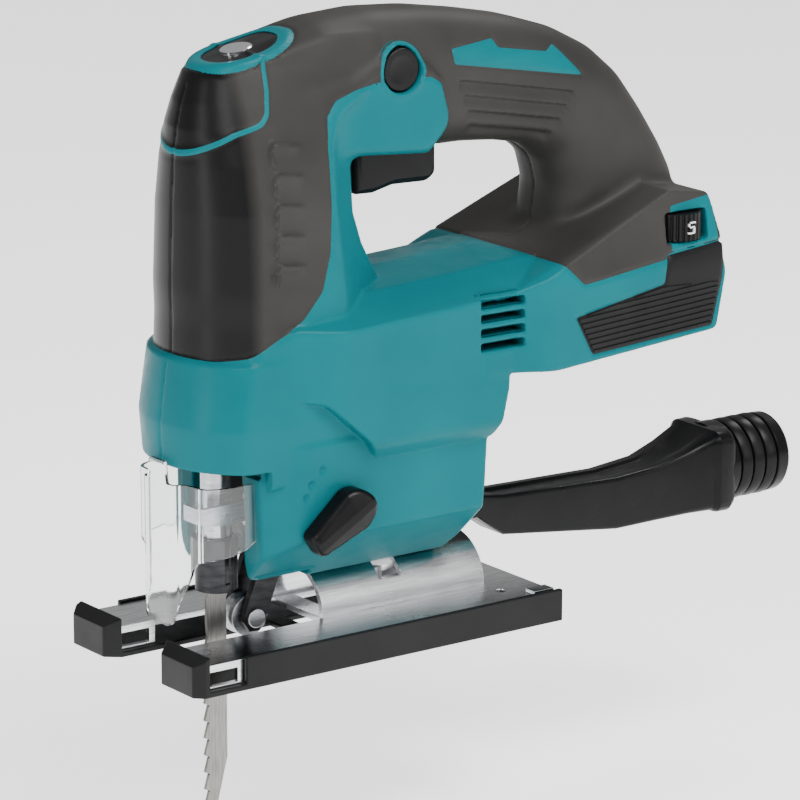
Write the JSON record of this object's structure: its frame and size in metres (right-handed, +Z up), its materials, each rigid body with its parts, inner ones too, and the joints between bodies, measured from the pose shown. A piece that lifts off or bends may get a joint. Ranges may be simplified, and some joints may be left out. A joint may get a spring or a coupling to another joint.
{
  "type": "cordless jigsaw",
  "caption": "Cordless D-handle jigsaw: tilting shoe, reciprocating toothed blade, orbital roller, trigger, speed dial, clear guard and pull-off dust nozzle.",
  "frame": {"origin": "on the sole plane of the shoe, on the blade's centre line", "axes": "+Z up, +X towards the rear where the battery goes, -Y the left side with the change lever"},
  "size_m": [0.266, 0.0773, 0.2637],
  "materials": {
    "shell": "satin moulded nylon",
    "soft_grip": "matte soft moulding",
    "dark_plastic": "satin moulded nylon",
    "gloss_lens": "gloss",
    "silver_disc": "satin",
    "contact": "satin",
    "steel": "turned",
    "copper": "enamelled wire",
    "board": "satin",
    "cast": "dark painted casting",
    "blade_steel": "ground",
    "bright_plate": "bright zinc plate",
    "clear": "clear polycarbonate"
  },
  "bodies": {
    "base": {"base_plate": "bright_plate", "base_arch": "bright_plate", "base_cover": "dark_plastic"},
    "housing": {"battery_panel_left": "dark_plastic", "battery_panel_right": "dark_plastic", "battery_rails": "steel", "bearing_bracket": "dark_plastic", "cap_badge": "silver_disc", "cap_lens": "gloss_lens", "clamp_bolt": "steel", "clamp_plate": "steel", "controller": "dark_plastic", "dial_board": "board", "gear_case": "cast", "gear_pin": "steel", "grip_left": "soft_grip", "grip_right": "soft_grip", "handle_badge_left": "shell", "handle_badge_right": "shell", "head_cap": "shell", "housing_left": "shell", "housing_right": "shell", "housing_screws": "steel", "job_light": "dark_plastic", "motor_bearings": "steel", "motor_coils": "copper", "motor_stator": "steel", "nose_bracket": "cast", "opener_pin": "steel", "rod_guide_high": "steel", "rod_guide_low": "steel", "sensor_board": "board", "swing_pin": "steel", "switch_body": "dark_plastic", "terminal_blades": "contact", "terminal_block": "dark_plastic"},
    "slider": {"slider_rod": "steel", "yoke": "steel", "blade": "blade_steel"},
    "sleeve": {"clamp_sleeve": "steel"},
    "gear": {"drive_gear": "steel", "crank_pin": "steel", "crank_roller": "steel", "counterweight": "steel"},
    "rotor": {"motor_rotor": "steel", "motor_shaft": "steel", "pinion": "steel", "fan": "dark_plastic"},
    "holder": {"roller_holder": "steel", "roller_pin": "steel"},
    "roller": {"roller": "steel"},
    "orbital": {"orbital_lever": "dark_plastic", "cam_shaft": "steel"},
    "trigger": {"trigger": "dark_plastic"},
    "lock": {"lock_button": "dark_plastic"},
    "dial": {"speed_dial": "dark_plastic"},
    "opener": {"tool_opener": "steel"},
    "guard": {"dust_cover": "clear"},
    "nozzle": {"nozzle_tube": "dark_plastic", "nozzle_cuff": "dark_plastic"}
  },
  "joints": [
    {"name": "base_tilt", "type": "hinge", "parent": "base", "child": "housing", "pos_m": [0.06, 0, 0.01], "axis": [1, 0, 0], "range_deg": [-45, 45]},
    {"name": "blade_stroke", "type": "slide", "parent": "housing", "child": "slider", "axis": [0, 0, 1], "range_m": [0, 0.026]},
    {"name": "gear_turn", "type": "hinge", "parent": "housing", "child": "gear", "pos_m": [0.017, 0, 0.106], "axis": [1, 0, 0], "range_deg": [0, 181]},
    {"name": "rotor_spin", "type": "hinge", "parent": "housing", "child": "rotor", "pos_m": [0.05, 0, 0.08325], "axis": [1, 0, 0], "range_deg": [-983, 0]},
    {"name": "sleeve_turn", "type": "hinge", "parent": "slider", "child": "sleeve", "pos_m": [0, 0, 0.031], "axis": [0, 0, 1], "range_deg": [0, 35], "stiffness_Nm_per_rad": 0.03, "springref_deg": -17.19},
    {"name": "holder_swing", "type": "hinge", "parent": "housing", "child": "holder", "pos_m": [0.02, 0, 0.041], "axis": [0, 1, 0], "range_deg": [-4, 0], "stiffness_Nm_per_rad": 0.4, "springref_deg": 5.73},
    {"name": "roller_spin", "type": "hinge", "parent": "holder", "child": "roller", "pos_m": [0.0109, 0, 0.0115], "axis": [0, 1, 0], "continuous": true},
    {"name": "orbital_select", "type": "hinge", "parent": "housing", "child": "orbital", "pos_m": [0.0305, -0.034, 0.0508], "axis": [0, 1, 0], "range_deg": [0, 90]},
    {"name": "trigger_pull", "type": "slide", "parent": "housing", "child": "trigger", "axis": [0, 0, 1], "range_m": [0, 0.005], "stiffness_N_per_m": 600, "springref_m": -0.005},
    {"name": "lock_press", "type": "slide", "parent": "housing", "child": "lock", "axis": [0, 1, 0], "range_m": [0, 0.0025], "stiffness_N_per_m": 600, "springref_m": -0.002},
    {"name": "dial_turn", "type": "hinge", "parent": "housing", "child": "dial", "pos_m": [0.166, -0.0303, 0.1275], "axis": [0, 0, 1], "range_deg": [-160, 40]},
    {"name": "opener_swing", "type": "hinge", "parent": "housing", "child": "opener", "pos_m": [0.0065, -0.0118, 0.05], "axis": [0, 0, 1], "range_deg": [0, 24], "stiffness_Nm_per_rad": 0.05, "springref_deg": -11.46},
    {"name": "guard_raise", "type": "slide", "parent": "housing", "child": "guard", "axis": [0, 0, 1], "range_m": [0, 0.005]},
    {"name": "nozzle_pull", "type": "slide", "parent": "housing", "child": "nozzle", "axis": [1, 0, 0], "range_m": [0, 0.02]}
  ],
  "couplings": [
    {"joint": "gear_turn", "follows": "blade_stroke", "rad_per_m": 120.83},
    {"joint": "rotor_spin", "follows": "blade_stroke", "rad_per_m": -655.94}
  ]
}
